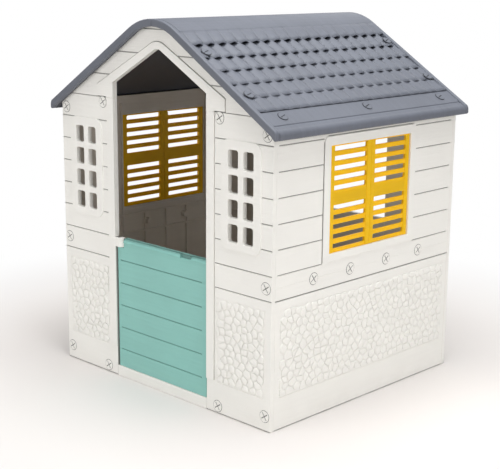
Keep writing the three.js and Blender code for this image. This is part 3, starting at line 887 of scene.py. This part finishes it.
def screw_head(radius, slot="cross"):
    """A broad round head with a raised rim ring and a slot."""
    bm = disc(radius)
    arm, half = radius * 0.82, 1.5 * MM
    turns = (0.6, 0.6 + math.pi / 2) if slot == "cross" else (0.35,)
    for turn in turns:
        along, across = (math.cos(turn), math.sin(turn)), (-math.sin(turn), math.cos(turn))
        for sign in (-1, 1):
            cut(bm, (across[0] * half * sign, across[1] * half * sign), across)
            cut(bm, (along[0] * arm * sign, along[1] * arm * sign), along)
    thicken(bm, 3 * MM)

    def in_slot(x, y):
        spots = [(abs(-math.sin(t) * x + math.cos(t) * y), math.hypot(x, y)) for t in turns]
        return any(off < half and far < arm for off, far in spots)

    # Painted shade in the slot floors.
    lift(bm, in_slot, -1.6 * MM, shade=True)
    # A dark disc just under the head's edge: painted shadow between head and ring.
    shadow_disc = disc(radius + 1.6 * MM)
    thicken(shadow_disc, MM)
    bmesh.ops.translate(shadow_disc, vec=(0, 0, -0.9 * MM), verts=shadow_disc.verts)
    for face in shadow_disc.faces:
        face.material_index = SHADE
    ring = disc(radius + 3.0 * MM)
    bmesh.ops.inset_region(ring, faces=ring.faces[:], thickness=1.7 * MM)
    inner = [f for f in ring.faces if f.calc_center_median().length < MM and len(f.verts) > 4]
    bmesh.ops.delete(ring, geom=inner, context="FACES")
    thicken(ring, 3 * MM)
    bmesh.ops.translate(ring, vec=(0, 0, -0.4 * MM), verts=ring.verts)
    return joined([bm, shadow_disc, ring])


def add_screws(name, place, spots, slot, nodes, style="cross", radius=16.2 * MM):
    parts = []
    for x, y, height in spots:
        head = screw_head(radius, style)
        bmesh.ops.translate(head, vec=(x, y, height), verts=head.verts)
        parts.append(head)
    add_piece(joined(parts), name, place, slot, nodes, rounding=0.6 * MM)


def node_names(start, word="screw"):
    return sorted(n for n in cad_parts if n.startswith(start) and word in n)


# Operators

class PLAYHOUSE_OT_end_walls(bpy.types.Operator):
    """Front and back walls: four tall panels, two gables, the door sill and the hatch panel"""
    bl_idname = "playhouse.end_walls"
    bl_label = "End walls"

    def execute(self, context):
        sizes = context.scene.playhouse_sizes
        panel_piece("front", 1, "front_right_panel")
        panel_piece("front", -1, "front_left_panel")
        panel_piece("back", 1, "back_left_panel")
        panel_piece("back", -1, "back_right_panel")
        gable_piece("front", "front_gable")
        gable_piece("back", "back_gable")
        sill_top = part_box("door_sill")[1][2]
        reach = HALF_DOOR - 0.4 * MM
        sill = box(-reach, reach, 0, sill_top, -WALL, 0.8 * MM)
        add_piece(sill, "door_sill", WALLS["front"], "wall_plastic", ["door_sill"], rounding=2 * MM)
        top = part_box("back_hatch_panel")[1][2]
        hatch = plate(-reach, reach, 0, top)
        lines = [33, 90, 160, 231, 301, 373, 430]
        score(hatch, across=(-185 * MM, 185 * MM))
        for y in lines[1:-1]:
            score(hatch, up=(y * MM - sizes.groove / 2, y * MM + sizes.groove / 2))
        thicken(hatch, WALL, inner=INNER_SHADE)

        def is_line(x, y):
            return abs(x) < 185 * MM and any(abs(y - n * MM) < sizes.groove / 2 for n in lines[1:-1])

        # Painted shade: the hatch's grooves take the darker copy.
        lift(hatch, is_line, -sizes.groove_depth, shade=True)
        add_piece(hatch, "back_hatch_panel", WALLS["back"], "wall_plastic", ["back_hatch_panel"],
                  rounding=sizes.rounding)
        return {"FINISHED"}


class PLAYHOUSE_OT_side_walls(bpy.types.Operator):
    """Side walls: boards above, cobble relief below, window surrounds and inner ribs"""
    bl_idname = "playhouse.side_walls"
    bl_label = "Side walls"

    def execute(self, context):
        for wall in ("right", "left"):
            side_wall(wall)
            inner_ribs(wall)
        return {"FINISHED"}


class PLAYHOUSE_OT_roof(bpy.types.Operator):
    """Roof shells with rounded borders, and the staggered barrel tiles"""
    bl_idname = "playhouse.roof"
    bl_label = "Roof"

    def execute(self, context):
        for side in (1, -1):
            roof_shell(side)
            roof_tiles(side)
        return {"FINISHED"}


class PLAYHOUSE_OT_door(bpy.types.Operator):
    """Half door with scored boards, top rail and hand hold, its hinge block and pins"""
    bl_idname = "playhouse.door"
    bl_label = "Door"

    def execute(self, context):
        left, right = LEAF[0][0], LEAF[1][0]
        low, high = LEAF[0][2], LEAF[1][2]
        face = -LEAF[0][1]
        thick = LEAF[1][1] - LEAF[0][1]
        place = facing(0, face)
        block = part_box("door_hinge_block")
        notch = block[1][0] + 2 * MM
        notch_floor = block[0][2] - 2 * MM
        rail = high - 13 * MM
        hold = right - 85 * MM
        groove = 3.0 * MM
        lines = [y * MM for y in (90, 160, 231, 301, 373)]
        start, end = left + 10 * MM, right - 20 * MM
        bm = plate(left, right, low, high)
        score(bm, across=(notch, start, end), up=(notch_floor, rail))
        for y in lines:
            score(bm, up=(y - groove / 2, y + groove / 2))
        score(bm, across=(hold - 22 * MM, hold + 22 * MM))
        bay = (end - start) / 4
        half_rib = 3 * MM
        ribs = [start + bay * i for i in range(1, 4)]
        middle, pocket_low, pocket_high = 214 * MM, low + 12 * MM, notch_floor - 6 * MM
        for x in ribs:
            score(bm, across=(x - half_rib, x + half_rib))
        score(bm, up=(pocket_low, middle - half_rib, middle + half_rib, pocket_high))
        drop(bm, lambda x, y: x < notch and y > notch_floor)
        thicken(bm, thick)
        # Painted shade: the board grooves take the darker copy.
        lift(bm, lambda x, y: start < x < end and any(abs(y - n) < groove / 2 for n in lines),
             -2.4 * MM, shade=True)

        def in_pocket(x, y):
            off_ribs = all(abs(x - rib) > half_rib for rib in ribs) and abs(y - middle) > half_rib
            return start < x < end and pocket_low < y < pocket_high and off_ribs

        lift(bm, in_pocket, 8 * MM, back=True)
        lift(bm, lambda x, y: y > rail and abs(x - hold) > 22 * MM, 1.8 * MM)
        brow = [v for v in bm.verts if v.co.z > MM and v.co.y > high - MM]
        bmesh.ops.translate(bm, vec=(0, 0, -6.5 * MM), verts=brow)
        # Painted shade: the hand hold's recess takes the darker copy.
        lift(bm, lambda x, y: y > rail and abs(x - hold) < 22 * MM, -3.6 * MM, shade=True)
        add_piece(bm, "door_leaf", place, "door_plastic", ["door_leaf"], "door", rounding=2.2 * MM)
        cup = box(hold - 17 * MM, hold + 17 * MM, rail - 6 * MM, rail - 3 * MM, -2 * MM, 1.2 * MM)
        add_piece(cup, "door_hand_hold", place, "door_plastic", body="door", rounding=1.2 * MM)
        self.hinge()
        return {"FINISHED"}

    def hinge(self):
        low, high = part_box("door_hinge_block")
        face = -low[1]
        pin = (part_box("door_pin_top")[0][0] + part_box("door_pin_top")[1][0]) / 2
        radius = high[0] - pin
        back = face + high[1]
        block = box(low[0], pin, low[2], high[2], -(face - HALF_DEPTH) + 0.3 * MM, 0)
        nose = disc(radius, 40)
        pin_y = -(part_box("door_pin_top")[0][1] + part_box("door_pin_top")[1][1]) / 2
        cut(nose, (0, face - pin_y), (0, 1), trim=True)
        cut(nose, (0, face - pin_y - back), (0, -1), trim=True)
        cut(nose, (0, 0), (-1, 0), trim=True)
        thicken(nose, high[2] - low[2])
        upright = Matrix(((1, 0, 0, pin), (0, 0, 1, high[2]), (0, 1, 0, pin_y - face), (0, 0, 0, 1)))
        bmesh.ops.transform(nose, matrix=upright, verts=nose.verts)
        add_piece(joined([block, nose]), "door_hinge_block", facing(0, face), "wall_plastic",
                  ["door_hinge_block"], rounding=2 * MM)
        for node in ("door_pin_top", "door_pin_bottom"):
            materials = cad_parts[node].data.materials
            materials.clear()
            materials.append(finishes()["screw_plastic"])


class PLAYHOUSE_OT_shutters(bpy.types.Operator):
    """Four louvred shutter leaves with their pivot pegs"""
    bl_idname = "playhouse.shutters"
    bl_label = "Shutters"

    def execute(self, context):
        for wall in ("right", "left"):
            for end in ("front", "back"):
                self.leaf(wall, end)
        return {"FINISHED"}

    def leaf(self, wall, end):
        node = wall + "_shutter_" + end
        sign = (1 if end == "back" else -1) * (1 if wall == "right" else -1)
        face = SHUTTER[1][0]
        thick = SHUTTER[1][0] - SHUTTER[0][0]
        near, far = SHUTTER[0][1], SHUTTER[1][1]
        low, high = 466 * MM, 771 * MM
        slot, pitch, stile = 14 * MM, 27.6 * MM, 19 * MM
        first = low + 11 * MM
        second = first + 5 * pitch + 41 * MM - (pitch - slot)
        slots = [start + i * pitch for start in (first, second) for i in range(5)]
        left, right = sorted((sign * near, sign * far))
        inner, outer = sorted((sign * stile, sign * (far - stile)))
        bm = plate(left, right, low, high)
        score(bm, across=(inner, outer))
        for y in slots:
            score(bm, up=(y, y + slot))

        def is_slot(x, y):
            return inner < x < outer and any(y0 < y < y0 + slot for y0 in slots)

        cut_holes(bm, is_slot, 2.5 * MM)
        bmesh.ops.translate(bm, vec=(0, 0, -1.5 * MM), verts=bm.verts)
        thicken(bm, thick - 1.5 * MM)
        parts = [bm]
        middle = (low + high) / 2
        for edge in (near, far - stile):
            x0, x1 = sorted((sign * edge, sign * (edge + stile - 2 * MM)))
            parts.append(box(x0, x1, low, high, -4 * MM, 0))
        x0, x1 = sorted((sign * stile, sign * (far - stile)))
        parts.append(box(x0 - MM, x1 + MM, middle - 17 * MM, middle + 17 * MM, -4 * MM, -0.7 * MM))
        for y in (low, high):
            peg = bmesh.new()
            bmesh.ops.create_cone(peg, cap_ends=True, segments=16, radius1=2.5 * MM,
                                  radius2=2.5 * MM, depth=10 * MM)
            bmesh.ops.rotate(peg, matrix=Matrix.Rotation(math.pi / 2, 3, "X"), verts=peg.verts)
            spot = (sign * (far - thick / 2), y, -thick / 2)
            bmesh.ops.translate(peg, vec=spot, verts=peg.verts)
            parts.append(peg)
        place = facing(math.pi / 2 if wall == "right" else -math.pi / 2, face)
        add_piece(joined(parts), node, place, "shutter_plastic", [node], node, rounding=1.3 * MM)


class PLAYHOUSE_OT_screws(bpy.types.Operator):
    """Every visible screw head, in one piece for each wall and slope"""
    bl_idname = "playhouse.screws"
    bl_label = "Screws"

    def execute(self, context):
        for wall in ("front", "back"):
            nodes = node_names(wall)
            add_screws(wall + "_screws", WALLS[wall], self.spots(nodes, wall), "screw_plastic", nodes)
        for wall in ("right", "left"):
            nodes = node_names(wall + "_seam")
            add_screws(wall + "_seam_screws", WALLS[wall], self.spots(nodes, wall), "screw_plastic", nodes)
        for side, name in ((1, "roof_right"), (-1, "roof_left")):
            nodes = node_names(name)
            field = [(y * MM, -x * MM / RUN, 1.6 * MM) for x in (347, 184) for y in (-397, 397)]
            band = [(y * MM, -429 * MM / RUN, -1.4 * MM) for y in (-352, 0, 352)]
            add_screws(name + "_screws", slope_frame(side), field + band, "roof_plastic", nodes, "bar",
                       radius=14 * MM)
        apex = ridge_point(-0.16, 0)
        place = Matrix.Translation(apex) @ Matrix.Rotation(-PITCH * 0.16, 4, "Y")
        spots = [(0, y * MM, -0.5 * MM) for y in (-395, -219, -47, 47, 219, 395)]
        add_screws("ridge_screws", place, spots, "roof_plastic", (), "bar", radius=11 * MM)
        return {"FINISHED"}

    def spots(self, nodes, wall):
        away = WALLS[wall].inverted()
        found = []
        for node in nodes:
            low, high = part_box(node)
            middle = away @ ((Vector(low) + Vector(high)) / 2)
            found.append((middle.x, middle.y, 1.1 * MM))
        return found


class PLAYHOUSE_OT_stage(bpy.types.Operator):
    """Pale floor, soft studio lights and the camera"""
    bl_idname = "playhouse.stage"
    bl_label = "Stage"

    def execute(self, context):
        scene = context.scene
        self.floor()
        self.camera(scene)
        self.light("top", (0.5, -0.3, 4.0), 3.0, 165)
        self.light("key", (4.2, -1.2, 1.9), 2.6, 64)
        self.light("fill", (-1.2, -4.6, 1.2), 3.0, 62)
        self.light("back", (-1.6, 4.0, 2.4), 3.0, 30)
        scene.world = self.sky()
        scene.view_settings.view_transform = "Standard"
        return {"FINISHED"}

    def sky(self):
        """A dim even light on the house, seen by the camera as white."""
        world = bpy.data.worlds.new("studio")
        world.use_nodes = True
        nodes = world.node_tree.nodes
        dim = nodes["Background"]
        dim.inputs["Color"].default_value = (1, 1, 1, 1)
        dim.inputs["Strength"].default_value = 0.30
        white = nodes.new("ShaderNodeBackground")
        white.inputs["Color"].default_value = (1, 1, 1, 1)
        mix = nodes.new("ShaderNodeMixShader")
        sight = nodes.new("ShaderNodeLightPath")
        link = world.node_tree.links.new
        link(sight.outputs["Is Camera Ray"], mix.inputs[0])
        link(dim.outputs[0], mix.inputs[1])
        link(white.outputs[0], mix.inputs[2])
        link(mix.outputs[0], nodes["World Output"].inputs["Surface"])
        return world

    def floor(self):
        bm = bmesh.new()
        bmesh.ops.create_grid(bm, x_segments=1, y_segments=1, size=400)
        mesh = bpy.data.meshes.new("floor")
        bm.to_mesh(mesh)
        bm.free()
        floor = bpy.data.objects.new("floor", mesh)
        bpy.context.scene.collection.objects.link(floor)
        finish = Finish("floor")
        finish.shader.inputs["Base Color"].default_value = (0.73, 0.70, 0.68, 1)
        finish.shader.inputs["Roughness"].default_value = 0.9
        away = finish.node("ShaderNodeVectorMath", {"operation": "LENGTH"}, {0: finish.coords})
        far = Value(finish, away.outputs["Value"]).ramp(0.75, 1.7)
        seen = Value(finish, finish.node("ShaderNodeLightPath").outputs["Is Camera Ray"])
        white = finish.node("ShaderNodeEmission", None, {"Color": (1, 1, 1, 1), "Strength": 1.0})
        mix = finish.node("ShaderNodeMixShader")
        finish.put(mix.inputs[0], far * seen)
        finish.put(mix.inputs[1], finish.shader.outputs[0])
        finish.put(mix.inputs[2], white.outputs[0])
        finish.put(finish.nodes["Material Output"].inputs["Surface"], mix.outputs[0])
        mesh.materials.append(finish.material)

    def camera(self, scene):
        data = bpy.data.cameras.new("camera")
        data.sensor_width = 36
        data.lens = 82.58
        camera = bpy.data.objects.new("camera", data)
        scene.collection.objects.link(camera)
        turn = Matrix.Rotation(math.radians(44.20), 4, "Z")
        tilt = Matrix.Rotation(math.radians(90 - 13.16), 4, "X")
        roll = Matrix.Rotation(math.radians(0.50), 4, "Z")
        camera.matrix_world = Matrix.Translation((2.4538, -2.5550, 1.2452)) @ turn @ tilt @ roll
        scene.camera = camera

    def light(self, name, spot, size, power):
        data = bpy.data.lights.new(name, "AREA")
        data.shape = "DISK"
        data.size = size
        data.energy = power
        lamp = bpy.data.objects.new(name, data)
        bpy.context.scene.collection.objects.link(lamp)
        aim = Vector((0, 0, 0.5)) - Vector(spot)
        lamp.matrix_world = Matrix.Translation(spot) @ aim.to_track_quat("-Z", "Y").to_matrix().to_4x4()


OPERATORS = (
    PLAYHOUSE_OT_stage,
    PLAYHOUSE_OT_end_walls,
    PLAYHOUSE_OT_side_walls,
    PLAYHOUSE_OT_roof,
    PLAYHOUSE_OT_door,
    PLAYHOUSE_OT_shutters,
    PLAYHOUSE_OT_screws,
)


class PLAYHOUSE_PT_panel(bpy.types.Panel):
    """Lists the playhouse's values and pieces"""
    bl_label = "Playhouse"
    bl_space_type = "VIEW_3D"
    bl_region_type = "UI"
    bl_category = "Playhouse"

    def draw(self, context):
        for group in (context.scene.playhouse_sizes, context.scene.playhouse_colours):
            for name in group.__annotations__:
                self.layout.prop(group, name)
        for operator in OPERATORS:
            self.layout.operator(operator.bl_idname)


CLASSES = (PlayhouseSizes, PlayhouseColours, *OPERATORS, PLAYHOUSE_PT_panel)


def register():
    for item in CLASSES:
        bpy.utils.register_class(item)
    bpy.types.Scene.playhouse_sizes = bpy.props.PointerProperty(type=PlayhouseSizes)
    bpy.types.Scene.playhouse_colours = bpy.props.PointerProperty(type=PlayhouseColours)


def unregister():
    del bpy.types.Scene.playhouse_colours
    del bpy.types.Scene.playhouse_sizes
    for item in reversed(CLASSES):
        bpy.utils.unregister_class(item)


def main():
    register()
    for operator in OPERATORS:
        group, name = operator.bl_idname.split(".")
        getattr(getattr(bpy.ops, group), name)()


if __name__ == "__main__":
    main()
